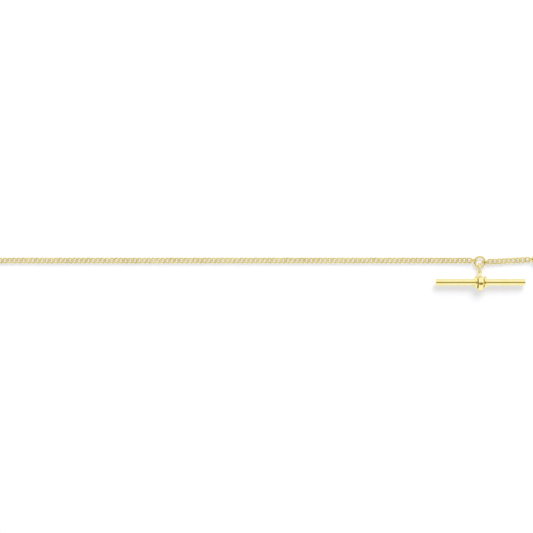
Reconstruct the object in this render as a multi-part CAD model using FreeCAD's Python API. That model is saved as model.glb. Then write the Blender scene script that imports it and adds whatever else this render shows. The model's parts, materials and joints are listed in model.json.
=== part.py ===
"""Single Albert pocket watch chain, laid out straight on a table.

A fine curb chain runs along X. Its right end hooks into a flat centre ring, from which a T-bar
hangs towards -Y. A short drop chain continues to the right and ends in a fob ring. The left end
carries a swivel clip that holds the bow of the watch. Everything rests on the plane z = 0.
"""
import FreeCAD
import Part
import math
import os

Vector = FreeCAD.Vector
X_AXIS = Vector(1, 0, 0)
Z_AXIS = Vector(0, 0, 1)
ORIGIN = Vector(0, 0, 0)
SHORTEST_EDGE = 1e-7        # anything shorter between two fillets is left out

# ---- curb links ----
link_wire = 0.46            # wire diameter; the curb pattern only works in these proportions to it
link_pitch = 3.1565 * link_wire      # between the centres of two neighbouring links
link_end_x = 2.1739 * link_wire      # half length of the wire's centreline
link_end_reach = 1.5217 * link_wire  # half length of the straight wire at each end
link_side_y = 1.6087 * link_wire     # half width of the centreline polygon at mid length
link_twist = 50.0           # angle of each end against the table, degrees
corner_share = 0.97         # share of each side that the corner arcs use up
end_corner_share = 0.62     # share of a sloping side that belongs to its end corner
links_per_section = 4       # links that move together as one section of the main chain
main_sections = 39
drop_links_per_section = 3
drop_sections = 3

# ---- rings ----
ring_radius = 1.62          # centreline radius of the centre ring and of the fob ring
ring_wire = 0.66
ring_lift = 0.03            # the rings lie this far above the middle of the end links
main_rise_y = 0.45          # how far the main chain lies towards +Y of the centre ring
drop_rise_y = 0.70          # how far the fob ring lies towards +Y of the centre ring

# ---- end links, flat ovals that join the chain to a ring ----
end_link_side_play = 0.16   # from the ring's wire to the inside of an end link
end_link_length_play = 0.25  # how far the ring's wire is from the link's inner end
end_link_half_width = ring_wire / 2 + link_wire / 2 + end_link_side_play
end_link_half_length = ring_wire / 2 + link_wire / 2 + 2 * end_link_length_play
end_link_ring_offset = end_link_half_length - ring_wire / 2 - link_wire / 2 - end_link_length_play
end_link_roll = 65.0        # lean against the table, degrees
end_link_slack = 0.08       # how far the neighbouring link has slid inwards
end_link_rise = 0.17        # height of the nearest curb link over the rest of the chain
left_link_share = 0.89      # share of the main chain's rise that the left end link takes up
left_link_slide = 0.01      # it lies this much further out than the others
left_link_heading = 6.0     # it points slightly away from the T-bar, degrees

# ---- connector link between centre ring and T-bar ----
connector_wire = 0.54
connector_length = 2.80     # overall length
connector_ring_gap = 0.10   # play between the connector and the ring's wire
connector_height = ring_wire + 2 * connector_wire + 2 * connector_ring_gap  # standing on edge

# ---- T-bar ----
bar_length = 28.0
bar_radius = 1.03
bar_end_round = 0.28
bar_shift = 0.10            # the bar has slid this far to the right inside its swivel
collar_wall = 0.87          # how far a collar stands out from the bar
collar_width = 0.93
collar_round = 0.38
collar_gap = 0.17           # play on each side of the swivel band
band_stand = 0.45           # how far the band stands out over the collars
band_width = 1.54
band_round = 0.55
band_bore_round = 0.12
band_sag = 0.32             # the loose band sits this far below the bar's axis
band_play = 0.058           # smallest gap between the band's bore and the bar
eye_play = 0.12             # between the eye and the connector's wire
eye_wire = 0.34
neck_length = 0.58          # from the connector's lower end to the band, seen from above
neck_top_radius = 0.36
neck_foot_radius = 0.66
neck_sink = 0.30            # how deep the neck runs into the band

# ---- swivel clip, distances along -X from the centre of its eyelet ----
eyelet_radius = 1.30        # centreline radius
cap_radius = 0.88
cap_round = 0.22
cap_start = 1.35
cap_end_wall = 0.60         # solid metal before the cavity
cap_mouth_wall = 0.70       # metal between the cavity and the open end of the cap
post_radius = 0.36
post_head_rim = 0.16        # how far the head is wider than the post
post_head_thickness = 0.50
post_head_play = 0.08       # round the head
post_end_play = 0.15        # in front of the head and behind it
post_play = 0.05            # running clearance of the post and of the gate's pin
cap_gap = 0.12              # gap between the cap and the hook's boss
boss_length = 1.30
boss_round = 0.20
post_depth = 0.80           # depth of the post in the boss
hook_wire = 1.40
hook_half_width = 3.20      # centreline of each side from the clip's axis
hook_knee_along = 1.00      # bend beside the boss, from the end of the boss
hook_knee_side = 1.30       # and from the clip's axis
hook_knee_tangent = 0.70
hook_shoulder = 3.10        # from the boss to the start of the straight side
hook_shoulder_tangent = 1.40
hook_side_length = 6.20
hook_return = 3.00          # length of the far side that comes back from the nose
nose_share = 0.92           # share of the half width that the nose's arcs use up
lug_radius = 0.88           # round lug that carries the gate's pin
lug_offset_x = 0.55         # from the end of the boss to the pin
lug_offset_y = 1.00         # from the clip's axis to the pin
slot_width = 0.84           # slot in the lug for the gate's knuckle
knuckle_clearance = 0.06    # play of the knuckle on each side
knuckle_radius = 0.72
slot_margin = 0.07          # the slot is this much deeper than the lug
gate_radius = 0.52
tang_share = 0.9            # the tang is this much of the knuckle's half thickness
gate_shoulder = 1.10        # where the gate's full section starts, from the pin
gate_tip_gap = 0.10         # gap between the gate and the hook's end
pin_radius = 0.20
pin_end_recess = 0.05
spring_wire = 0.12
spring_turns = 4
spring_overlap = 0.9        # the turns touch and bind slightly
spring_clearance = 0.05

# ---- worked out ----
wire_radius = link_wire / 2
collar_radius = bar_radius + collar_wall
band_radius = collar_radius + band_stand
connector_top_y = -ring_radius + ring_wire / 2 + connector_ring_gap + connector_wire
bar_drop = connector_length - connector_top_y + neck_length + band_radius  # ring to bar axis
band_bore_radius = bar_radius + math.hypot(band_sag, band_radius - collar_radius) + band_play
eye_hole_radius = connector_wire / 2 + eye_play
post_head_radius = post_radius + post_head_rim
cavity_radius = post_head_radius + post_head_play
cavity_start = cap_start + cap_end_wall
cavity_end = cavity_start + post_head_thickness + 2 * post_end_play
cap_end = cavity_end + cap_mouth_wall
slot_radius = lug_radius + slot_margin
end_link_height = end_link_half_width * math.sin(math.radians(end_link_roll)) + wire_radius
ring_height = end_link_height + ring_lift
end_link_step = link_pitch + (end_link_half_length - link_end_x) - end_link_slack


def rod(radius, start, end):
    """Round bar from start to end."""
    run = end.sub(start)
    return Part.makeCylinder(radius, run.Length, start, run)


def disc(radius, centre, normal):
    """Flat round face."""
    return Part.Face(Part.Wire(Part.makeCircle(radius, centre, normal)))


def torus(centre, normal, centreline_radius, wire):
    """Closed round ring of wire."""
    return Part.makeTorus(centreline_radius, wire / 2, centre, normal)


def fuse(shapes):
    """One solid from touching or overlapping shapes."""
    joined = shapes[0].fuse(shapes[1:]).removeSplitter()
    if len(joined.Solids) != 1:
        raise ValueError("pieces that should be one solid came apart")
    return joined.Solids[0]


def bent_wire(points, tangents, radius, closed):
    """Round wire along a polygon whose corners are arcs with the given tangent lengths."""
    count = len(points)
    pieces = []
    leaving = {}
    arriving = {}
    for index in range(count):
        corner = points[index]
        is_end = not closed and index in (0, count - 1)
        if is_end:
            leaving[index] = corner
            arriving[index] = corner
            continue
        incoming = corner.sub(points[index - 1]).normalize()
        outgoing = points[(index + 1) % count].sub(corner).normalize()
        turn = incoming.getAngle(outgoing)
        arc_radius = tangents[index] / math.tan(turn / 2)
        start = corner.sub(incoming * tangents[index])
        axis = incoming.cross(outgoing).normalize()
        centre = start.add(axis.cross(incoming) * arc_radius)
        arriving[index] = start
        leaving[index] = corner.add(outgoing * tangents[index])
        section = disc(radius, start, incoming)
        pieces.append(section.revolve(centre, axis, math.degrees(turn)))
    last = count if closed else count - 1
    for index in range(last):
        pieces.append(rod(radius, leaving[index], arriving[(index + 1) % count]))
    return fuse(pieces)


def make_curb_link():
    """Twisted curb link around the origin, long way along X."""
    lean = math.radians(link_twist)
    across = link_end_reach * math.cos(lean)
    up = link_end_reach * math.sin(lean)
    corners = [
        Vector(link_end_x, -across, -up),
        Vector(link_end_x, across, up),
        Vector(0, link_side_y, 0),
        Vector(-link_end_x, across, -up),
        Vector(-link_end_x, -across, up),
        Vector(0, -link_side_y, 0),
    ]
    slope = corners[2].sub(corners[1]).Length
    end_tangent = min(link_end_reach, slope * end_corner_share) * corner_share
    side_tangent = (slope - end_tangent) * corner_share
    tangents = [end_tangent, end_tangent, side_tangent] * 2
    return bent_wire(corners, tangents, wire_radius, True)


def make_oval(half_length, half_width, wire):
    """Flat oval link around the origin in the XY plane; sizes are those of its centreline."""
    straight = half_length - half_width
    ends = []
    for side in (1, -1):
        start = Vector(side * straight, -side * half_width, 0)
        section = disc(wire / 2, start, X_AXIS)
        ends.append(section.revolve(Vector(side * straight, 0, 0), Z_AXIS, 180))
        ends.append(rod(wire / 2, Vector(-straight, side * half_width, 0),
                        Vector(straight, side * half_width, 0)))
    return fuse(ends)


def turned(profile, centre, axis):
    """Solid turned about an axis. The profile is (distance along the axis, radius, fillet)."""
    flat = []
    for along, radius, corner in profile:
        flat.append(Vector(along, radius, 0))
    outline = rounded_outline(flat, [corner for along, radius, corner in profile])
    body = Part.Face(outline).revolve(ORIGIN, X_AXIS, 360)
    body.Placement = FreeCAD.Placement(centre, FreeCAD.Rotation(X_AXIS, axis))
    return body


def rounded_outline(points, fillets):
    """Closed wire through the points, each corner rounded by its fillet radius."""
    count = len(points)
    edges = []
    starts = []
    ends = []
    for index in range(count):
        corner = points[index]
        incoming = corner.sub(points[index - 1]).normalize()
        outgoing = points[(index + 1) % count].sub(corner).normalize()
        fillet = fillets[index]
        tangent = fillet * math.tan(incoming.getAngle(outgoing) / 2)
        start = corner.sub(incoming * tangent)
        end = corner.add(outgoing * tangent)
        starts.append(start)
        ends.append(end)
        if fillet > 0:
            inward = outgoing.sub(incoming).normalize()
            to_centre = math.hypot(fillet, tangent)
            middle = corner.add(inward * (to_centre - fillet))
            edges.append(Part.Arc(start, middle, end).toShape())
    for index in range(count):
        begin = ends[index]
        finish = starts[(index + 1) % count]
        if finish.sub(begin).Length > SHORTEST_EDGE:
            edges.append(Part.LineSegment(begin, finish).toShape())
    return Part.Wire(Part.__sortEdges__(edges))


def moved(shape, place, roll=0.0, heading=0.0):
    """Copy of a shape, rolled about X, then turned about Z, then moved."""
    copy = shape.copy()
    turn = FreeCAD.Rotation(Z_AXIS, heading).multiply(FreeCAD.Rotation(X_AXIS, roll))
    copy.Placement = FreeCAD.Placement(place, turn)
    return copy


def save(name, solids):
    """Write one node, made of one or more separate solids."""
    shape = solids[0] if len(solids) == 1 else Part.makeCompound(solids)
    shape.exportStep("parts/" + name + ".step")


# ---- layout: every place is counted from the centre ring, then moved to the origin ----
curb_link = make_curb_link()
end_link = make_oval(end_link_half_length, end_link_half_width, link_wire)
chain_height = -curb_link.optimalBoundingBox(False, False).ZMin

end_link_x = ring_radius + end_link_ring_offset
main_count = links_per_section * main_sections
drop_count = drop_links_per_section * drop_sections
main_first_x = end_link_x + end_link_step
main_last_x = main_first_x + link_pitch * (main_count - 1)
watch_link_x = main_last_x + end_link_step
eyelet_x = watch_link_x + end_link_ring_offset + eyelet_radius
drop_last_x = main_first_x + link_pitch * (drop_count - 1)
fob_link_x = drop_last_x + end_link_step
fob_ring_x = fob_link_x + end_link_ring_offset + ring_radius
drop_step_y = drop_rise_y / (drop_count + 1)
left_link_y = main_rise_y * left_link_share
left_link_x = end_link_x + left_link_slide
hook_radius = hook_wire / 2
boss_start = cap_end + cap_gap
boss_end = boss_start + boss_length
side_start = boss_end + hook_shoulder
side_end = side_start + hook_side_length
hook_end = side_end - hook_return
pin_along = boss_end + lug_offset_x
left_edge = -(eyelet_x + side_end + hook_half_width + hook_radius)
right_edge = fob_ring_x + ring_radius + ring_wire / 2
lower_edge = -(bar_drop + band_sag + band_radius)
upper_edge = main_rise_y + hook_half_width + hook_radius
shift = Vector(-(left_edge + right_edge) / 2, -(lower_edge + upper_edge) / 2, 0)


def rise_at(links_from_end):
    """Extra height of a curb link that climbs to an end link."""
    return end_link_rise * max(0.0, 1 - links_from_end / links_per_section)


def chain_section(first, count, total, start_x, direction, base_y, slope_y):
    """Separate curb links of one section; slope_y is the sideways step from link to link."""
    links = []
    for index in range(first, first + count):
        climb = rise_at(index) + rise_at(total - 1 - index)
        place = Vector(direction * (start_x + link_pitch * index),
                       base_y + slope_y * (index + 1), chain_height + climb)
        links.append(moved(curb_link, place.add(shift)))
    return links


def make_connector():
    """Upright oval link through the centre ring and the T-bar's eye."""
    half_length = (connector_length - connector_wire) / 2
    oval = make_oval(half_length, connector_arc_radius, connector_wire)
    oval.rotate(ORIGIN, X_AXIS, 90)
    oval.rotate(ORIGIN, Z_AXIS, 90)
    oval.translate(Vector(0, connector_centre_y, connector_centre_z))
    return oval


connector_centre_y = connector_top_y - connector_length / 2
connector_centre_z = connector_height / 2
connector_arc_y = connector_top_y - connector_length + connector_height / 2
connector_arc_radius = (connector_height - connector_wire) / 2
band_centre = Vector(0, -(bar_drop + band_sag), band_radius)
connector_arc_centre = Vector(0, connector_arc_y, connector_centre_z)


def make_swivel():
    """Band that turns on the T-bar, with its neck and eye in one casting."""
    reach = connector_arc_centre.sub(band_centre)
    towards_eye = Vector(reach).normalize()
    eye_centre = connector_arc_centre.sub(towards_eye * connector_arc_radius)
    half = band_width / 2
    profile = [
        (-half, band_bore_radius, band_bore_round),
        (-half, band_radius, band_round),
        (half, band_radius, band_round),
        (half, band_bore_radius, band_bore_round),
    ]
    band = turned(profile, band_centre, X_AXIS)
    eye_radius = eye_hole_radius + eye_wire / 2
    eye = torus(eye_centre, X_AXIS.cross(towards_eye), eye_radius, eye_wire)
    foot_distance = band_radius - neck_sink
    foot = band_centre.add(towards_eye * foot_distance)
    length = eye_centre.sub(foot).Length - eye_radius
    neck = Part.makeCone(neck_foot_radius, neck_top_radius, length, foot, towards_eye)
    return fuse([band, eye, neck])


def make_collar(side):
    """Rounded collar pressed on the T-bar beside the band."""
    inner = band_width / 2 + collar_gap
    profile = [
        (inner, bar_radius, 0),
        (inner, collar_radius, collar_round),
        (inner + collar_width, collar_radius, collar_round),
        (inner + collar_width, bar_radius, 0),
    ]
    centre = Vector(bar_shift, -bar_drop, collar_radius)
    return turned(profile, centre, X_AXIS * side)


def make_bar():
    """Plain round bar with rounded ends."""
    half = bar_length / 2
    profile = [
        (-half, 0, 0),
        (-half, bar_radius, bar_end_round),
        (half, bar_radius, bar_end_round),
        (half, 0, 0),
    ]
    return turned(profile, Vector(bar_shift, -bar_drop, collar_radius), X_AXIS)


def along_clip(distance, sideways=0.0, up=0.0):
    """Point of the clip: distance from the eyelet's centre along -X, then sideways and up."""
    return Vector(-eyelet_x - distance, main_rise_y + sideways, ring_height + up)


clip_axis = X_AXIS * -1
spring_mean_radius = pin_radius + spring_clearance + spring_wire / 2
spring_outer = spring_mean_radius + spring_wire / 2
spring_step = spring_wire * spring_overlap
spring_height = spring_wire + spring_step * (spring_turns - 1)
spring_low = slot_width / 2 - knuckle_clearance - spring_clearance - spring_height


def make_eyelet_cap():
    """Eyelet and hollow swivel cap in one piece; the post's head turns inside the cap."""
    bore = post_radius + post_play
    profile = [
        (cap_start, 0, 0),
        (cap_start, cap_radius, cap_round),
        (cap_end, cap_radius, cap_round),
        (cap_end, bore, 0),
        (cavity_end, bore, 0),
        (cavity_end, cavity_radius, 0),
        (cavity_start, cavity_radius, 0),
        (cavity_start, 0, 0),
    ]
    cap = turned(profile, along_clip(0), clip_axis)
    return fuse([cap, torus(along_clip(0), Z_AXIS, eyelet_radius, ring_wire)])


def make_post():
    """Headed post that holds the hook in the cap."""
    head_start = (cavity_start + cavity_end - post_head_thickness) / 2
    head_end = head_start + post_head_thickness
    profile = [
        (head_start, 0, 0),
        (head_start, post_head_radius, 0),
        (head_end, post_head_radius, 0),
        (head_end, post_radius, 0),
        (boss_start + post_depth, post_radius, 0),
        (boss_start + post_depth, 0, 0),
    ]
    return turned(profile, along_clip(0), clip_axis)


def make_hook():
    """Bent hook with its boss, its slotted lug and the blind hole of the post."""
    profile = [
        (boss_start, 0, 0),
        (boss_start, cap_radius, boss_round),
        (boss_end, cap_radius, boss_round),
        (boss_end, 0, 0),
    ]
    boss = turned(profile, along_clip(0), clip_axis)
    side = hook_half_width
    points = [
        along_clip(boss_start + post_depth + hook_radius),
        along_clip(boss_end + hook_knee_along, hook_knee_side),
        along_clip(side_start, side),
        along_clip(side_end + side, side),
        along_clip(side_end + side, -side),
        along_clip(hook_end, -side),
    ]
    nose_tangent = side * nose_share
    tangents = [0, hook_knee_tangent, hook_shoulder_tangent, nose_tangent, nose_tangent, 0]
    wire = bent_wire(points, tangents, hook_radius, False)
    ball = Part.makeSphere(hook_radius, points[-1])
    lug = rod(lug_radius, along_clip(pin_along, -lug_offset_y, -cap_radius),
              along_clip(pin_along, -lug_offset_y, cap_radius))
    slot = rod(slot_radius, along_clip(pin_along, -lug_offset_y, -slot_width / 2),
               along_clip(pin_along, -lug_offset_y, slot_width / 2))
    post_hole = rod(post_radius, along_clip(boss_start - post_play),
                    along_clip(boss_start + post_depth))
    hook = fuse([boss, wire, ball, lug])
    return hook.cut([slot, post_hole, gate_axle(pin_radius, cap_radius)]).Solids[0]


def gate_axle(radius, half_length):
    """Round bar on the gate's hinge line."""
    return rod(radius, along_clip(pin_along, -lug_offset_y, -half_length),
               along_clip(pin_along, -lug_offset_y, half_length))


def make_gate():
    """Sprung gate: a knuckle on the pin and a round bar that reaches the hook's nose."""
    half = slot_width / 2 - knuckle_clearance
    knuckle = gate_axle(knuckle_radius, half)
    tip = along_clip(hook_end - hook_radius - gate_tip_gap - gate_radius, -hook_half_width)
    pin_point = along_clip(pin_along, -lug_offset_y)
    out = tip.sub(pin_point).normalize()
    bar = rod(gate_radius, pin_point.add(out * gate_shoulder), tip)
    tang = rod(half * tang_share, pin_point, pin_point.add(out * (gate_shoulder + gate_radius)))
    ball = Part.makeSphere(gate_radius, tip)
    gate = fuse([knuckle, tang, bar, ball])
    spring_room = rod(spring_outer + spring_clearance,
                      along_clip(pin_along, -lug_offset_y, spring_low - spring_clearance),
                      along_clip(pin_along, -lug_offset_y, slot_width))
    return gate.cut([gate_axle(pin_radius + post_play, slot_width), spring_room]).Solids[0]


def make_spring():
    """Close-wound spring round the pin, its turns touching."""
    turns = []
    for index in range(spring_turns):
        height = spring_low + spring_wire / 2 + index * spring_step
        centre = along_clip(pin_along, -lug_offset_y, height)
        turns.append(torus(centre, Z_AXIS, spring_mean_radius, spring_wire))
    return fuse(turns)


def main():
    """Write every node."""
    os.makedirs("parts", exist_ok=True)
    ring = torus(Vector(0, 0, ring_height), Z_AXIS, ring_radius, ring_wire)
    ring.translate(shift)
    save("centre_ring", [ring])

    for section in range(main_sections):
        first = section * links_per_section
        links = chain_section(first, links_per_section, main_count, main_first_x, -1,
                              main_rise_y, 0.0)
        save("chain_section_%02d" % (section + 1), links)
    for section in range(drop_sections):
        first = section * drop_links_per_section
        links = chain_section(first, drop_links_per_section, drop_count, main_first_x, 1,
                              0.0, drop_step_y)
        save("drop_section_%d" % (section + 1), links)

    end_links = [
        ("end_link_watch", -watch_link_x, main_rise_y, end_link_roll, 0.0),
        ("end_link_left", -left_link_x, left_link_y, -end_link_roll, -left_link_heading),
        ("end_link_right", end_link_x, 0.0, end_link_roll, 0.0),
        ("end_link_fob", fob_link_x, drop_rise_y, -end_link_roll, 0.0),
    ]
    for name, x, y, roll, heading in end_links:
        place = Vector(x, y, end_link_height).add(shift)
        save(name, [moved(end_link, place, roll, heading)])

    fob_ring = torus(Vector(fob_ring_x, drop_rise_y, ring_height), Z_AXIS, ring_radius, ring_wire)
    singles = [
        ("fob_ring", fob_ring),
        ("t_bar_link", make_connector()),
        ("t_bar_swivel", make_swivel()),
        ("t_bar_rod", make_bar()),
        ("t_bar_collar_left", make_collar(-1)),
        ("t_bar_collar_right", make_collar(1)),
        ("clip_eyelet", make_eyelet_cap()),
        ("clip_post", make_post()),
        ("clip_hook", make_hook()),
        ("clip_gate", make_gate()),
        ("clip_gate_pin", gate_axle(pin_radius, cap_radius - pin_end_recess)),
        ("clip_gate_spring", make_spring()),
    ]
    for name, shape in singles:
        shape.translate(shift)
        save(name, [shape])


main()
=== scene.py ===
"""Looks of a single Albert pocket watch chain: pale yellow gold, polished, lying straight on white.

Lengths in the shape functions are millimetres; place() turns them into metres at the end.
"""
import json
import math
import random

import bpy
import bmesh
import numpy as np
from mathutils import Matrix, Quaternion, Vector


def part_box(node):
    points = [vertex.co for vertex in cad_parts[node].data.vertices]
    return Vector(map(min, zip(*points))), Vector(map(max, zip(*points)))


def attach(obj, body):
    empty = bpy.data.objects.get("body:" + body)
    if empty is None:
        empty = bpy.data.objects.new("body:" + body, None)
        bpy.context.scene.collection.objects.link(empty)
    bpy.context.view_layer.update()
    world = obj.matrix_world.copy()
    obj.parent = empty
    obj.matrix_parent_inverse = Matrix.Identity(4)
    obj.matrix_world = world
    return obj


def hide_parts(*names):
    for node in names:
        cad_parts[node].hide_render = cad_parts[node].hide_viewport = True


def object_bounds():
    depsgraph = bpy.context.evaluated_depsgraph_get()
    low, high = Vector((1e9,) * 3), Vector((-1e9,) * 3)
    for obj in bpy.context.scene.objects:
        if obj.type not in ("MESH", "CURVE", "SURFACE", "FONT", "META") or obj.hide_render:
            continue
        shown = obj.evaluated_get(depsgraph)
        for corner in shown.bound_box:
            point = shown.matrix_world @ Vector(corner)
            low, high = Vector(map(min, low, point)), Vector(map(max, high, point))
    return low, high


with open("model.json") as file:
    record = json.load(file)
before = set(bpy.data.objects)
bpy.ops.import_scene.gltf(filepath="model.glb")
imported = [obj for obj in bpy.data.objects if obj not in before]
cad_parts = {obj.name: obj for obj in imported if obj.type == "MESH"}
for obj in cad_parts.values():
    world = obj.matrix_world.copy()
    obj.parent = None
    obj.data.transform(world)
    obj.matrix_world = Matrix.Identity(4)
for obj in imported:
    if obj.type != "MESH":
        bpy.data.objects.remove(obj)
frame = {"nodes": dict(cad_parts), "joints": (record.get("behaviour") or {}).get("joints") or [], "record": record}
cad_low, cad_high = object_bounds()
MM = 0.001
JOINTS = {joint["name"]: joint for joint in frame["joints"]}
random.seed(7)

# ---- sizes, millimetres ----
LINK_WIRE = 0.40
LINK_HALF_LENGTH = 1.03       # of the wire's centreline
LINK_HALF_WIDTH = 0.71
LINK_TWIST_HEIGHT = 0.34      # how far the twist lifts and drops the corners of a link
LINK_ROLL_SPREAD = 2.0        # how unevenly the links lie, degrees
LINK_SIDE_SPREAD = 0.025
END_LINK_HALF_LENGTH = 1.06
END_LINK_HALF_WIDTH = 0.72
END_LINK_ROLL = 65.0
RING_WIRE = 0.66
RING_RADIUS = 1.62
EYELET_RADIUS = 1.30
CONNECTOR_WIRE = 0.48
CONNECTOR_LENGTH = 3.05
CONNECTOR_HEIGHT = 1.88
CONNECTOR_SPREAD = 0.85       # how much wider the connector is hammered at the ring
CONNECTOR_SPREAD_RUN = 0.6    # length over which it widens, from the eye's end
CONNECTOR_SLOPE = 0.22        # its upper run climbs towards the T-bar
EYE_WIRE = 0.34
EYE_RADIUS = 0.51             # centreline of the T-bar's eye
NECK_TOP_RADIUS = 0.44
NECK_FOOT_RADIUS = 0.72
BAND_BORE_RADIUS = 1.64
BAR_END_ROUND = 0.28
CAP_START = 1.35
CAP_END = 3.45
BOSS_START = 3.57
BOSS_END = 4.87
CLIP_BODY_RADIUS = 0.88
HOOK_WIRE = 1.40
HOOK_HALF_WIDTH = 3.20
HOOK_SIDE_START = 7.97
HOOK_SIDE_END = 14.17
HOOK_END = 11.17
KNUCKLE_RADIUS = 0.72
KNUCKLE_HALF = 0.36
GATE_RADIUS = 0.52
GATE_TIP = 9.93
LUG_RADIUS = 0.88
SLOT_RADIUS = 0.95
SLOT_HALF = 0.42
PIN_RADIUS = 0.20
PIN_BORE_RADIUS = 0.42        # hole in the gate, round the pin
POST_BORE_RADIUS = 0.41       # the cap's mouth, round the swivel post
POST_ROOM_RADIUS = 0.60       # the cap's hollow, round the post's head
POST_ROOM_END = 2.75
SPRING_WIRE = 0.11
SPRING_TURNS = 3.6

# ---- solder joints: how much fuller the wire is, and over what share of its length ----
CURB_JOINT = (0.05, 0.012)
END_LINK_JOINT = (0.07, 0.014)
RING_JOINT = (0.045, 0.010)
LINK_JOINT_AT = 0.25          # share of a link's length where its joint lies

# ---- floor, light and camera; sizes here are metres ----
FLOOR_HALF = 3.0
SKY_COLOUR = (0.98, 1.02, 1.26)
GAP_COLOUR = (0.37, 0.265, 0.08)
GAP_LEAN = 0.10               # how far the opening leans towards -Y
GAP_INNER = 0.29
GAP_OUTER = 0.49
KEY_AIM = Vector((-0.06, 0, 0))     # from the centre ring
KEY_OFFSET = Vector((0.30, 0.98, 0.98))
KEY_SIZE = (0.85, 0.85)
KEY_POWER = 25.0
KEY_TINT = (1.0, 1.0, 1.06)
VIEW_WIDTH = 0.1667           # width of the view at the table
LENS = 100.0                  # millimetres, as the sensor
SENSOR = 36.0
RING_RIGHT_OF_CENTRE = 0.06666
RING_ABOVE_CENTRE = 0.00144


X_TO_Z = Matrix(((0, 0, 1, 0), (0, 1, 0, 0), (1, 0, 0, 0), (0, 0, 0, 1)))


def joint_point(name):
    """Pivot of a joint at rest, millimetres."""
    return Vector(JOINTS[name]["pos_m"]) / MM


def node_box(node):
    """Lowest and highest corner of a CAD node, millimetres."""
    low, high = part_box(node)
    return low / MM, high / MM


def node_centre(node):
    low, high = node_box(node)
    return (low + high) / 2


# ---- materials ----

def new_material(name):
    """Material, its node tree and its shader node."""
    material = bpy.data.materials.new(name)
    material.use_nodes = True
    tree = material.node_tree
    return material, tree, tree.nodes["Principled BSDF"]


def set_inputs(node, values):
    for socket, value in values.items():
        node.inputs[socket].default_value = value


def add_node(tree, kind, values, links=()):
    """Node with its input values set and its inputs linked, as (output, input) pairs."""
    node = tree.nodes.new(kind)
    set_inputs(node, values)
    for source, socket in links:
        tree.links.new(source, node.inputs[socket])
    return node


def add_ramp(tree, source, low, high):
    """Colour ramp between two (position, colour) stops."""
    ramp = add_node(tree, "ShaderNodeValToRGB", {}, [(source, "Fac")])
    for stop, (position, colour) in zip(ramp.color_ramp.elements, (low, high)):
        stop.position = position
        stop.color = (*colour, 1)
    return ramp


def gold(name, tone, deep_tone, roughness, scratch, scratch_turn=0.0, grain=1.0):
    """Polished gold alloy: slow tone drift, fine polishing scratches, faint wear and soft pits."""
    material, tree, shader = new_material(name)
    set_inputs(shader, {"Metallic": 1.0, "IOR": 1.45})
    where = tree.nodes.new("ShaderNodeTexCoord").outputs["Object"]

    drift = add_node(tree, "ShaderNodeTexNoise", {"Scale": 420.0 * grain, "Detail": 3.0},
                     [(where, "Vector")])
    tones = add_ramp(tree, drift.outputs["Fac"], (0.30, deep_tone), (0.62, tone))
    tree.links.new(tones.outputs["Color"], shader.inputs["Base Color"])

    smears = add_node(tree, "ShaderNodeTexNoise",
                      {"Scale": 1500.0 * grain, "Detail": 4.0, "Roughness": 0.6},
                      [(where, "Vector")])
    gloss = add_node(tree, "ShaderNodeMapRange",
                     {"From Min": 0.3, "From Max": 0.7,
                      "To Min": roughness * 0.75, "To Max": roughness * 1.45},
                     [(smears.outputs["Fac"], "Value")])
    tree.links.new(gloss.outputs["Result"], shader.inputs["Roughness"])

    stretch = add_node(tree, "ShaderNodeMapping",
                       {"Rotation": (0.12, 0.0, scratch_turn),
                        "Scale": (600.0, 14000.0, 14000.0)}, [(where, "Vector")])
    hairlines = add_node(tree, "ShaderNodeTexNoise", {"Scale": 1.0, "Detail": 2.0},
                         [(stretch.outputs["Vector"], "Vector")])
    pits = add_node(tree, "ShaderNodeTexVoronoi", {"Scale": 5200.0}, [(where, "Vector")])
    pit_depth = add_node(tree, "ShaderNodeMapRange",
                         {"From Min": 0.0, "From Max": 0.12, "To Min": -0.5, "To Max": 0.0},
                         [(pits.outputs["Distance"], "Value")])
    relief = add_node(tree, "ShaderNodeMath", {},
                      [(hairlines.outputs["Fac"], 0), (pit_depth.outputs["Result"], 1)])
    relief.operation = "ADD"
    bump = add_node(tree, "ShaderNodeBump", {"Strength": scratch, "Distance": 0.00001},
                    [(relief.outputs["Value"], "Height")])
    tree.links.new(bump.outputs["Normal"], shader.inputs["Normal"])
    return material


def blued_steel():
    """Drawn spring wire with a faint heat tint."""
    material, tree, shader = new_material("spring_wire")
    set_inputs(shader, {"Metallic": 1.0})
    where = tree.nodes.new("ShaderNodeTexCoord").outputs["Object"]
    tint = add_node(tree, "ShaderNodeTexNoise", {"Scale": 2600.0}, [(where, "Vector")])
    tones = add_ramp(tree, tint.outputs["Fac"], (0.0, (0.20, 0.22, 0.30)),
                     (1.0, (0.52, 0.53, 0.56)))
    tree.links.new(tones.outputs["Color"], shader.inputs["Base Color"])
    wear = add_node(tree, "ShaderNodeMapRange", {"To Min": 0.2, "To Max": 0.4},
                    [(tint.outputs["Fac"], "Value")])
    tree.links.new(wear.outputs["Result"], shader.inputs["Roughness"])
    return material


def light_table():
    """Plain white table, softly lit from below, with a hardly visible tooth."""
    material, tree, shader = new_material("light_table")
    set_inputs(shader, {"Base Color": (0.34, 0.34, 0.34, 1), "Emission Color": (1.0, 1.0, 1.0, 1),
                        "Emission Strength": 0.52, "Roughness": 0.9, "Specular IOR Level": 0.1})
    where = tree.nodes.new("ShaderNodeTexCoord").outputs["Object"]
    tooth = add_node(tree, "ShaderNodeTexNoise", {"Scale": 900.0}, [(where, "Vector")])
    bump = add_node(tree, "ShaderNodeBump", {"Strength": 0.02, "Distance": 0.00002},
                    [(tooth.outputs["Fac"], "Height")])
    tree.links.new(bump.outputs["Normal"], shader.inputs["Normal"])
    return material


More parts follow.
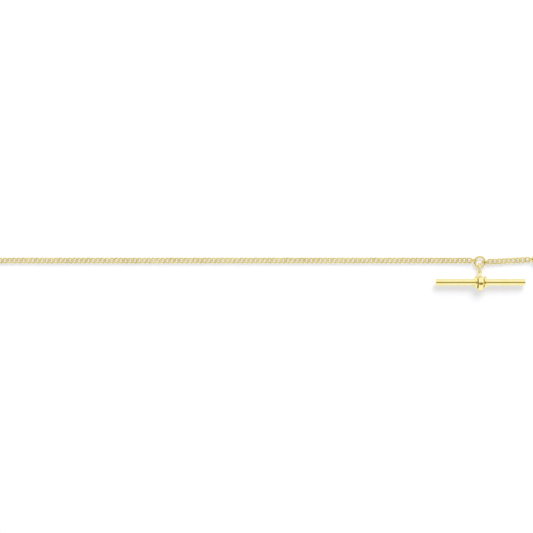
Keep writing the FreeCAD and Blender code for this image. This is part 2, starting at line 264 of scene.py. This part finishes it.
# The chain's gold tones are darker than the bar's and the clip's: painted shade for the dim rims between the small
# links, not a different alloy.
shade_darkened_chain_gold = gold("polished_chain", (0.93, 0.82, 0.36), (0.80, 0.67, 0.23), 0.15, 0.35, 0.6, 1.6)
# The rings' deep tone is darker than the bar's: painted shade for the dim sides of the rings, not a different
# alloy.
shade_darkened_ring_gold = gold("polished_rings", (0.95, 0.83, 0.36), (0.86, 0.71, 0.26), 0.12, 0.30, 1.2)
satin_gold = gold("satin_connector", (0.99, 0.88, 0.42), (0.98, 0.84, 0.36), 0.30, 0.30, 1.2)
bar_gold = gold("polished_bar", (0.985, 0.88, 0.39), (0.975, 0.85, 0.33), 0.07, 0.22, 0.03, 0.6)
clip_gold = gold("polished_clip", (0.985, 0.85, 0.37), (0.96, 0.77, 0.28), 0.11, 0.30, 0.2)
spring_steel = blued_steel()


# ---- mesh helpers, millimetres ----

def smooth_loop(formula, count):
    """Points of a closed curve given by a formula of the angle."""
    return [Vector(formula(2 * math.pi * index / count)) for index in range(count)]


def sweep(points, radius, sides, closed):
    """Round wire along points. radius is a number, or a function of the share of the length."""
    count = len(points)
    tangents = []
    for index in range(count):
        before = points[index - 1] if closed or index > 0 else points[index]
        after = points[(index + 1) % count] if closed or index < count - 1 else points[index]
        tangents.append((after - before).normalized())
    normal = tangents[0].orthogonal().normalized()
    normals = [normal]
    for index in range(1, count):
        turn = tangents[index - 1].rotation_difference(tangents[index])
        normal = turn @ normals[-1]
        normals.append((normal - tangents[index] * normal.dot(tangents[index])).normalized())
    drift = 0.0
    if closed:
        turn = tangents[-1].rotation_difference(tangents[0])
        back = turn @ normals[-1]
        side = tangents[0].cross(normals[0])
        drift = math.atan2(back.dot(side), back.dot(normals[0]))
    vertices = []
    for index in range(count):
        share = index / (count if closed else count - 1)
        wide = radius(share) if callable(radius) else radius
        untwist = Quaternion(tangents[index], -drift * share)
        across = untwist @ normals[index]
        up = tangents[index].cross(across)
        for step in range(sides):
            angle = 2 * math.pi * step / sides
            offset = across * (math.cos(angle) * wide) + up * (math.sin(angle) * wide)
            vertices.append(points[index] + offset)
    faces = []
    rings = count if closed else count - 1
    for index in range(rings):
        here = index * sides
        there = ((index + 1) % count) * sides
        for step in range(sides):
            following = (step + 1) % sides
            faces.append((here + step, here + following, there + following, there + step))
    if not closed:
        faces.append(tuple(range(sides - 1, -1, -1)))
        faces.append(tuple((count - 1) * sides + step for step in range(sides)))
    return vertices, faces


def moved(shape, matrix):
    vertices, faces = shape
    return [matrix @ vertex for vertex in vertices], faces


def joined(shapes):
    """Several (vertices, faces) as one, still separate shells."""
    vertices = []
    faces = []
    for some_vertices, some_faces in shapes:
        start = len(vertices)
        vertices.extend(some_vertices)
        faces.extend(tuple(start + corner for corner in face) for face in some_faces)
    return vertices, faces


def lathe(profile, steps):
    """Turned shape about +X from (along, radius) points. A radius of 0 closes to a point."""
    vertices = []
    rows = []
    for along, radius in profile:
        if radius < 1e-9:
            rows.append([len(vertices)] * steps)
            vertices.append(Vector((along, 0, 0)))
            continue
        row = []
        for step in range(steps):
            angle = 2 * math.pi * step / steps
            row.append(len(vertices))
            vertices.append(Vector((along, radius * math.cos(angle), radius * math.sin(angle))))
        rows.append(row)
    closed = profile[0][1] > 1e-9
    faces = []
    spans = len(rows) if closed else len(rows) - 1
    for index in range(spans):
        here = rows[index]
        there = rows[(index + 1) % len(rows)]
        for step in range(steps):
            following = (step + 1) % steps
            corners = []
            for corner in (here[step], there[step], there[following], here[following]):
                if corner not in corners:
                    corners.append(corner)
            if len(corners) > 2:
                faces.append(tuple(corners))
    return vertices, faces


def rounded_profile(corners, steps=6):
    """Profile points from (along, radius, fillet) corners, each fillet as a short arc."""
    points = []
    count = len(corners)
    for index, (along, radius, fillet) in enumerate(corners):
        here = Vector((along, radius))
        if fillet == 0:
            points.append((along, radius))
            continue
        before = Vector(corners[index - 1][:2])
        after = Vector(corners[(index + 1) % count][:2])
        inward = (before - here).normalized()
        outward = (after - here).normalized()
        half = math.acos(max(-1, min(1, inward.dot(outward)))) / 2
        tangent = fillet / math.tan(half)
        centre = here + (inward + outward).normalized() * (fillet / math.sin(half))
        start = here + inward * tangent - centre
        end = here + outward * tangent - centre
        sweep_angle = start.angle_signed(end)
        for step in range(steps + 1):
            turned = start.copy()
            turned.rotate(Matrix.Rotation(-sweep_angle * step / steps, 2))
            points.append(tuple(centre + turned))
    return points


def build_mesh(name, shape):
    """Blender mesh in millimetres, with its faces turned outwards."""
    vertices, faces = shape
    mesh = bpy.data.meshes.new(name)
    mesh.from_pydata([tuple(vertex) for vertex in vertices], [], faces)
    work = bmesh.new()
    work.from_mesh(mesh)
    bmesh.ops.remove_doubles(work, verts=work.verts, dist=1e-5)
    bmesh.ops.recalc_face_normals(work, faces=work.faces)
    work.to_mesh(mesh)
    work.free()
    return mesh


def apply_modifiers(thing):
    """Mesh of an object with its modifiers applied; the object is removed."""
    bpy.context.view_layer.update()
    graph = bpy.context.evaluated_depsgraph_get()
    mesh = bpy.data.meshes.new_from_object(thing.evaluated_get(graph))
    bpy.data.objects.remove(thing)
    return mesh


def temporary(mesh):
    thing = bpy.data.objects.new("work_" + mesh.name, mesh)
    bpy.context.scene.collection.objects.link(thing)
    return thing


def cast_together(name, shapes, voxel, smoothing):
    """One skin over overlapping shapes, with small fillets where they meet."""
    thing = temporary(build_mesh(name, joined(shapes)))
    remesh = thing.modifiers.new("skin", "REMESH")
    remesh.mode = "VOXEL"
    remesh.voxel_size = voxel
    soften = thing.modifiers.new("soften", "SMOOTH")
    soften.factor = 0.5
    soften.iterations = smoothing
    return apply_modifiers(thing)


def cut(mesh, tools):
    """Mesh with the tools' shapes cut away."""
    thing = temporary(mesh)
    helpers = []
    for tool in tools:
        helper = temporary(build_mesh("tool", tool))
        helpers.append(helper)
        difference = thing.modifiers.new("cut", "BOOLEAN")
        difference.operation = "DIFFERENCE"
        difference.solver = "EXACT"
        difference.object = helper
    result = apply_modifiers(thing)
    for helper in helpers:
        bpy.data.objects.remove(helper)
    return result


def place(name, mesh, material, body, nodes, sharp=40.0):
    """Piece in metres that rides on a body and stands for CAD nodes."""
    mesh.transform(Matrix.Scale(MM, 4))
    mesh.materials.clear()
    mesh.materials.append(material)
    mesh.shade_smooth()
    mesh.set_sharp_from_angle(angle=math.radians(sharp))
    piece = bpy.data.objects.new(name, mesh)
    bpy.context.scene.collection.objects.link(piece)
    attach(piece, body)
    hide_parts(*nodes)
    return piece


# ---- chain ----

def islands(node):
    """Centre of each separate solid in a CAD node, from left to right, millimetres."""
    mesh = frame["nodes"][node].data
    where = {}
    parent = []
    keys = []
    for vertex in mesh.vertices:
        key = tuple(round(c * 1e7) for c in vertex.co)
        if key not in where:
            where[key] = len(parent)
            parent.append(len(parent))
        keys.append(where[key])

    def root(index):
        while parent[index] != index:
            parent[index] = parent[parent[index]]
            index = parent[index]
        return index

    for edge in mesh.edges:
        parent[root(keys[edge.vertices[0]])] = root(keys[edge.vertices[1]])
    groups = {}
    for vertex, key in zip(mesh.vertices, keys):
        groups.setdefault(root(key), []).append(vertex.co / MM)
    centres = []
    for points in groups.values():
        table = np.array(points)
        centres.append(Vector((table.min(0) + table.max(0)) / 2))
    return sorted(centres, key=lambda centre: centre.x)


def curb_curve(angle):
    """Centreline of a twisted curb link."""
    return (LINK_HALF_LENGTH * math.cos(angle), LINK_HALF_WIDTH * math.sin(angle),
            LINK_TWIST_HEIGHT * math.sin(2 * angle))


def joint_bulge(away, joint):
    """How much fuller the wire is, this share of its length away from its solder joint."""
    fullness, width = joint
    return 1 + fullness * math.exp(-(away / width) ** 2)


def curb_wire(share):
    return LINK_WIRE / 2 * joint_bulge(share - LINK_JOINT_AT, CURB_JOINT)


def curb_links(name, node, body):
    """All links of one section, each lying a little unevenly."""
    link = sweep(smooth_loop(curb_curve, 56), curb_wire, 16, True)
    links = []
    for centre in islands(node):
        roll = Matrix.Rotation(math.radians(random.uniform(-1, 1) * LINK_ROLL_SPREAD), 4, "X")
        lift = Vector((0, random.uniform(-1, 1) * LINK_SIDE_SPREAD, 0.03))
        links.append(moved(link, Matrix.Translation(centre + lift) @ roll))
    place(name, build_mesh(name, joined(links)), shade_darkened_chain_gold, body, [node])


def oval_curve(half_length, half_width):
    """Stadium-like oval, its ends a little squarer than an ellipse."""
    def point(angle):
        along = math.copysign(abs(math.cos(angle)) ** 0.86, math.cos(angle))
        across = math.copysign(abs(math.sin(angle)) ** 0.78, math.sin(angle))
        return (half_length * along, half_width * across, 0)
    return point


def end_link(name, node, body, roll):
    """Oval jump link between the curb chain and a ring, with its solder joint."""
    def wire(share):
        return LINK_WIRE / 2 * joint_bulge(share - LINK_JOINT_AT, END_LINK_JOINT)

    curve = smooth_loop(oval_curve(END_LINK_HALF_LENGTH, END_LINK_HALF_WIDTH), 96)
    lean = Matrix.Rotation(math.radians(roll), 4, "X")
    shape = moved(sweep(curve, wire, 20, True), Matrix.Translation(node_centre(node)) @ lean)
    place(name, build_mesh(name, shape), shade_darkened_chain_gold, body, [node])


def make_chain():
    bodies = frame["record"]["behaviour"]["bodies"]
    for body, nodes in bodies.items():
        for node in nodes:
            if node.startswith(("chain_section", "drop_section")):
                curb_links(node.replace("section", "links"), node, body)
    for side, lean in (("left", -1), ("right", 1), ("watch", 1), ("fob", -1)):
        node = "end_link_" + side
        end_link("jump_link_" + side, node, node, lean * END_LINK_ROLL)


# ---- rings ----

def circle(radius):
    def point(angle):
        return (radius * math.cos(angle), radius * math.sin(angle), 0)

    return point


def round_ring(radius, wire, seam):
    """Ring of wire with its solder joint at the seam, a share of the way round."""
    def thickness(share):
        away = abs((share - seam + 0.5) % 1.0 - 0.5)
        return wire / 2 * joint_bulge(away, RING_JOINT)

    return sweep(smooth_loop(circle(radius), 160), thickness, 32, True)


def make_rings():
    for name, node, seam in (("ring_centre", "centre_ring", 0.37), ("ring_fob", "fob_ring", 0.6)):
        shape = moved(round_ring(RING_RADIUS, RING_WIRE, seam),
                      Matrix.Translation(node_centre(node)))
        place(name, build_mesh(name, shape), shade_darkened_ring_gold, node, [node])


# ---- T-bar ----

def stadium(straight, radius, arc_steps, straight_steps):
    """Points of two half circles joined by straight runs."""
    points = []
    for side in (1, -1):
        for step in range(arc_steps):
            angle = math.pi * (step / arc_steps - 0.5)
            points.append(Vector((side * (straight + radius * math.cos(angle)),
                                  side * radius * math.sin(angle), 0)))
        for step in range(straight_steps):
            share = step / straight_steps
            points.append(Vector((side * straight * (1 - 2 * share), side * radius, 0)))
    return points


def make_connector():
    """Upright link, round at the T-bar's eye, hammered wide and low at the ring."""
    radius = (CONNECTOR_HEIGHT - CONNECTOR_WIRE) / 2
    straight = (CONNECTOR_LENGTH - CONNECTOR_HEIGHT) / 2
    stand_up = Matrix(((0, 0, 1, 0), (1, 0, 0, 0), (0, 1, 0, 0), (0, 0, 0, 1)))
    link = sweep(stadium(straight, radius, 32, 16), CONNECTOR_WIRE / 2, 24, True)
    for vertex in link[0]:
        past_eye = max(0.0, vertex.x + straight)
        upper_share = min(1.0, max(0.0, 0.5 + vertex.y / (2 * radius)))
        vertex.z *= 1 + CONNECTOR_SPREAD * min(1.0, past_eye / CONNECTOR_SPREAD_RUN)
        vertex.y -= past_eye * CONNECTOR_SLOPE * upper_share
    centre = joint_point("t_bar_swing") + Vector((0, straight, 0))
    shape = moved(link, Matrix.Translation(centre) @ stand_up)
    place("connector_link", build_mesh("connector_link", shape), satin_gold, "t_bar_link",
          ["t_bar_link"])


def make_swivel():
    """Domed band, neck and eye cast in one piece."""
    low, high = node_box("t_bar_swivel")
    radius = (high.z - low.z) / 2
    half = (high.x - low.x) / 2
    centre = Vector(((low.x + high.x) / 2, low.y + radius, low.z + radius))
    arc_centre = joint_point("t_bar_swing")
    out = (arc_centre - centre).normalized()
    arc_radius = (CONNECTOR_HEIGHT - CONNECTOR_WIRE) / 2
    eye = arc_centre - out * arc_radius
    profile = rounded_profile([(-half, BAND_BORE_RADIUS, 0.14), (-half, radius - 0.30, 0.30),
                               (0, radius + 0.02, 0.90), (half, radius - 0.30, 0.30),
                               (half, BAND_BORE_RADIUS, 0.14)], 8)
    band = moved(lathe(profile, 128), Matrix.Translation(centre))
    eye_normal = Vector((1, 0, 0)).cross(out)
    face_eye = Vector((0, 0, 1)).rotation_difference(eye_normal).to_matrix().to_4x4()
    eye_curve = smooth_loop(circle(EYE_RADIUS), 64)
    ring = moved(sweep(eye_curve, EYE_WIRE / 2, 20, True), Matrix.Translation(eye) @ face_eye)
    start = eye - out * (EYE_RADIUS + 0.02)
    end = centre + out * (radius - 0.30)
    steps = 12
    spine = [start.lerp(end, step / steps) for step in range(steps + 1)]

    def flare(share):
        return NECK_TOP_RADIUS + (NECK_FOOT_RADIUS - NECK_TOP_RADIUS) * share ** 2.2

    neck = sweep(spine, flare, 32, False)
    mesh = cast_together("swivel_band", [band, ring, neck], 0.045, 4)
    place("swivel_band", mesh, bar_gold, "t_bar_swivel", ["t_bar_swivel"], 60)


def make_bar():
    """Bar with softly rounded ends, and the two barrel collars pressed on it."""
    low, high = node_box("t_bar_rod")
    radius = (high.z - low.z) / 2
    half = (high.x - low.x) / 2
    centre = (low + high) / 2
    profile = rounded_profile([(-half, 0, 0), (-half, radius, BAR_END_ROUND),
                               (half, radius, BAR_END_ROUND), (half, 0, 0)], 10)
    middle = len(profile) // 2
    straight_start = profile[middle - 1][0]
    body = [(straight_start * (0.9 - 0.05 * step), radius) for step in range(37)]
    shape = moved(lathe(profile[:middle] + body + profile[middle:], 96),
                  Matrix.Translation(centre))
    place("toggle_bar", build_mesh("toggle_bar", shape), bar_gold, "t_bar", ["t_bar_rod"])
    for side in ("left", "right"):
        node = "t_bar_collar_" + side
        low, high = node_box(node)
        outer = (high.z - low.z) / 2
        wide = (high.x - low.x) / 2
        ring = rounded_profile([(-wide, radius, 0), (-wide, outer - 0.12, 0.36),
                                (0, outer + 0.04, 0.70), (wide, outer - 0.12, 0.36),
                                (wide, radius, 0)], 8)
        shape = moved(lathe(ring, 96), Matrix.Translation((low + high) / 2))
        place("bar_collar_" + side, build_mesh("bar_collar_" + side, shape), bar_gold, "t_bar",
              [node])


# ---- watch clip; distances run along -X from the eyelet's centre ----

def clip_to_frame():
    """Matrix from (distance, sideways, up) in the clip to the frame.

    It mirrors X, so a mesh that was built before it is applied has its normals flipped after.
    """
    centre = joint_point("clip_eyelet_swing")
    turn = Matrix(((-1, 0, 0, 0), (0, 1, 0, 0), (0, 0, 1, 0), (0, 0, 0, 1)))
    return Matrix.Translation(centre) @ turn


def smooth_path(points, spacing):
    """Evenly spaced points on a smooth curve through a few given ones."""
    spline = bpy.data.curves.new("path", "CURVE")
    spline.dimensions = "3D"
    spline.resolution_u = 24
    line = spline.splines.new("NURBS")
    line.points.add(len(points) - 1)
    for index, point in enumerate(points):
        line.points[index].co = (*point, 1)
    line.order_u = 3
    line.use_endpoint_u = True
    thing = bpy.data.objects.new("path", spline)
    bpy.context.scene.collection.objects.link(thing)
    bpy.context.view_layer.update()
    mesh = bpy.data.meshes.new_from_object(thing)
    samples = [vertex.co.copy() for vertex in mesh.vertices]
    bpy.data.objects.remove(thing)
    lengths = [0.0]
    for before, after in zip(samples, samples[1:]):
        lengths.append(lengths[-1] + (after - before).length)
    count = max(8, int(lengths[-1] / spacing))
    path = []
    for step in range(count + 1):
        target = lengths[-1] * step / count
        index = max(i for i, value in enumerate(lengths) if value <= target + 1e-9)
        index = min(index, len(samples) - 2)
        span = max(lengths[index + 1] - lengths[index], 1e-9)
        path.append(samples[index].lerp(samples[index + 1], (target - lengths[index]) / span))
    return path


def ball(radius, centre):
    steps = 16
    angles = [math.pi * step / steps for step in range(steps + 1)]
    profile = [(-radius * math.cos(angle), radius * math.sin(angle)) for angle in angles]
    profile[0] = (-radius, 0)
    profile[-1] = (radius, 0)
    return moved(lathe(profile, 32), Matrix.Translation(centre))


def upright_rod(radius, x, y, half):
    """Round rod along the gate's hinge line."""
    profile = [(-half, 0), (-half, radius), (half, radius), (half, 0)]
    return moved(lathe(profile, 48), Matrix.Translation((x, y, 0)) @ X_TO_Z)


def make_clip():
    """Eyelet with cap, hook with lug, sprung gate, pin and spring."""
    to_frame = clip_to_frame()
    pin = to_frame.inverted() @ joint_point("gate_hinge")
    cap = rounded_profile([(CAP_START, 0, 0), (CAP_START, CLIP_BODY_RADIUS - 0.12, 0.25),
                           (CAP_START + 0.5, CLIP_BODY_RADIUS, 0.10),
                           (CAP_START + 0.62, CLIP_BODY_RADIUS - 0.16, 0.08),
                           (CAP_START + 0.8, CLIP_BODY_RADIUS - 0.02, 0.10),
                           (CAP_END - 0.35, CLIP_BODY_RADIUS, 0.15),
                           (CAP_END, CLIP_BODY_RADIUS - 0.18, 0.12), (CAP_END, 0, 0)], 6)
    eyelet = round_ring(EYELET_RADIUS, RING_WIRE, 0.1)
    mesh = cast_together("eyelet_cap", [lathe(cap, 96), eyelet], 0.05, 3)
    mesh.transform(to_frame)
    mesh.flip_normals()
    bore = [(CAP_START + 0.6, 0), (CAP_START + 0.6, POST_ROOM_RADIUS),
            (POST_ROOM_END, POST_ROOM_RADIUS), (POST_ROOM_END, POST_BORE_RADIUS),
            (CAP_END + 0.5, POST_BORE_RADIUS), (CAP_END + 0.5, 0)]
    mesh = cut(mesh, [moved(lathe(bore, 64), to_frame)])
    place("eyelet_cap", mesh, clip_gold, "clip_eyelet", ["clip_eyelet"], 45)

    half_wire = HOOK_WIRE / 2
    side = HOOK_HALF_WIDTH
    route = [(BOSS_END - 0.5, 0, 0), (BOSS_END + 0.6, 0.35, 0), (BOSS_END + 1.6, side * 0.75, 0),
             (HOOK_SIDE_START, side * 1.02, 0), (HOOK_SIDE_END - 1.5, side * 1.02, 0),
             (HOOK_SIDE_END + side * 0.8, side * 1.0, 0), (HOOK_SIDE_END + side * 1.1, 0, 0),
             (HOOK_SIDE_END + side * 0.8, -side * 1.0, 0), (HOOK_END + 1.2, -side * 1.01, 0),
             (HOOK_END, -side, 0)]
    path = smooth_path([Vector(point) for point in route], 0.22)

    def taper(share):
        return half_wire * (0.90 + 0.10 * math.sin(math.pi * min(1.0, share * 1.05)))

    boss = rounded_profile([(BOSS_START, 0, 0), (BOSS_START, CLIP_BODY_RADIUS - 0.06, 0.12),
                            (BOSS_START + 0.4, CLIP_BODY_RADIUS, 0.1),
                            (BOSS_END, CLIP_BODY_RADIUS - 0.05, 0.25), (BOSS_END, 0, 0)], 6)
    lug = upright_rod(LUG_RADIUS, pin.x, pin.y, CLIP_BODY_RADIUS - 0.02)
    nose = ball(half_wire * 0.95, path[-1] + Vector((-0.06, 0, 0)))
    hook = cast_together("hook_body", [sweep(path, taper, 40, False), lathe(boss, 96), lug, nose],
                         0.07, 4)
    hook.transform(to_frame)
    hook.flip_normals()
    slot = moved(upright_rod(SLOT_RADIUS, pin.x, pin.y, SLOT_HALF), to_frame)
    pin_hole = moved(upright_rod(PIN_RADIUS, pin.x, pin.y, 2.0), to_frame)
    place("hook_body", cut(hook, [slot, pin_hole]), clip_gold, "clip_hook", ["clip_hook"], 45)

    tip = Vector((GATE_TIP, -side, 0))
    out = (tip - pin).normalized()
    gate_route = [pin + out * 0.5, pin + out * 1.0, pin.lerp(tip, 0.5) + Vector((0, -0.12, 0)), tip]
    gate_path = smooth_path(gate_route, 0.18)

    def gate_wire(share):
        return min(GATE_RADIUS, 0.33 + 0.6 * share)

    knuckle = upright_rod(KNUCKLE_RADIUS, pin.x, pin.y, KNUCKLE_HALF)
    gate = cast_together("gate_lever", [sweep(gate_path, gate_wire, 32, False), knuckle,
                                        ball(GATE_RADIUS, tip)], 0.05, 3)
    gate.transform(to_frame)
    gate.flip_normals()
    gate = cut(gate, [moved(upright_rod(PIN_BORE_RADIUS, pin.x, pin.y, 1.0), to_frame)])
    place("gate_lever", gate, clip_gold, "clip_gate", ["clip_gate"], 45)

    low, high = node_box("clip_gate_pin")
    half = (high.z - low.z) / 2
    dome = rounded_profile([(-half, 0, 0), (-half, PIN_RADIUS, 0.08), (half, PIN_RADIUS, 0.08),
                            (half, 0, 0)], 6)
    shape = moved(lathe(dome, 48), Matrix.Translation((low + high) / 2) @ X_TO_Z)
    place("hinge_pin", build_mesh("hinge_pin", shape), clip_gold, "clip_hook",
          ["clip_gate_pin"])

    low, high = node_box("clip_gate_spring")
    radius = (high.x - low.x - SPRING_WIRE) / 2
    rise = high.z - low.z - SPRING_WIRE
    steps = 150
    coil = []
    for step in range(steps + 1):
        share = step / steps
        angle = 2 * math.pi * SPRING_TURNS * share
        coil.append(Vector((radius * math.cos(angle), radius * math.sin(angle),
                            rise * (share - 0.5))))
    shape = moved(sweep(coil, SPRING_WIRE / 2, 12, False), Matrix.Translation((low + high) / 2))
    place("gate_spring", build_mesh("gate_spring", shape), spring_steel, "clip_hook",
          ["clip_gate_spring"])

    post = frame["nodes"]["clip_post"]
    post.data.materials.clear()
    post.data.materials.append(clip_gold)


# ---- floor, light and camera ----

def make_floor():
    mesh = bpy.data.meshes.new("floor")
    half = FLOOR_HALF
    mesh.from_pydata([(-half, -half, 0), (half, -half, 0), (half, half, 0), (-half, half, 0)],
                     [], [(0, 1, 2, 3)])
    floor = bpy.data.objects.new("floor", mesh)
    floor.location.z = cad_low.z
    mesh.materials.append(light_table())
    bpy.context.scene.collection.objects.link(floor)


def make_sky():
    """White tent with a darker opening along the top, above the chain."""
    world = bpy.data.worlds.new("tent")
    bpy.context.scene.world = world
    world.use_nodes = True
    tree = world.node_tree
    background = tree.nodes["Background"]
    background.inputs["Strength"].default_value = 1.0
    direction = tree.nodes.new("ShaderNodeTexCoord")
    split = add_node(tree, "ShaderNodeSeparateXYZ", {},
                     [(direction.outputs["Generated"], "Vector")])
    height = add_node(tree, "ShaderNodeMath", {1: 0.001}, [(split.outputs["Z"], 0)])
    height.operation = "MAXIMUM"
    ratio = add_node(tree, "ShaderNodeMath", {},
                     [(split.outputs["Y"], 0), (height.outputs["Value"], 1)])
    ratio.operation = "DIVIDE"
    lean = add_node(tree, "ShaderNodeMath", {1: GAP_LEAN}, [(ratio.outputs["Value"], 0)])
    lean.operation = "ADD"
    slope = add_node(tree, "ShaderNodeMath", {}, [(lean.outputs["Value"], 0)])
    slope.operation = "ABSOLUTE"
    level = add_node(tree, "ShaderNodeMapRange", {"From Min": GAP_INNER, "From Max": GAP_OUTER},
                     [(slope.outputs["Value"], "Value")])
    level.interpolation_type = "SMOOTHSTEP"
    mix = tree.nodes.new("ShaderNodeMix")
    mix.data_type = "RGBA"
    mix.inputs["A"].default_value = (*GAP_COLOUR, 1)
    mix.inputs["B"].default_value = (*SKY_COLOUR, 1)
    tree.links.new(level.outputs["Result"], mix.inputs["Factor"])
    tree.links.new(mix.outputs["Result"], background.inputs["Color"])


def soft_box(name, aim, offset, size, power, tint):
    """Large area light that looks at a point."""
    data = bpy.data.lights.new(name, "AREA")
    data.shape = "RECTANGLE"
    data.size, data.size_y = size
    data.energy = power
    data.color = tint
    light = bpy.data.objects.new(name, data)
    light.location = aim + offset
    light.rotation_mode = "QUATERNION"
    light.rotation_quaternion = (-offset).to_track_quat("-Z", "Y")
    light.visible_camera = False
    light.visible_glossy = False
    bpy.context.scene.collection.objects.link(light)


def make_camera():
    data = bpy.data.cameras.new("camera")
    data.sensor_width = SENSOR
    data.lens = LENS
    data.clip_start = 0.01
    data.clip_end = 20
    camera = bpy.data.objects.new("camera", data)
    ring = node_centre("centre_ring") * MM
    height = VIEW_WIDTH / SENSOR * LENS
    camera.location = (ring.x - RING_RIGHT_OF_CENTRE, ring.y - RING_ABOVE_CENTRE,
                       ring.z + height)
    bpy.context.scene.collection.objects.link(camera)
    bpy.context.scene.camera = camera


make_chain()
make_rings()
make_connector()
make_swivel()
make_bar()
make_clip()
make_floor()
make_sky()
soft_box("key", node_centre("centre_ring") * MM + KEY_AIM, KEY_OFFSET, KEY_SIZE, KEY_POWER,
         KEY_TINT)
make_camera()
bpy.context.scene.view_settings.view_transform = "Standard"
bpy.context.scene.view_settings.look = "None"
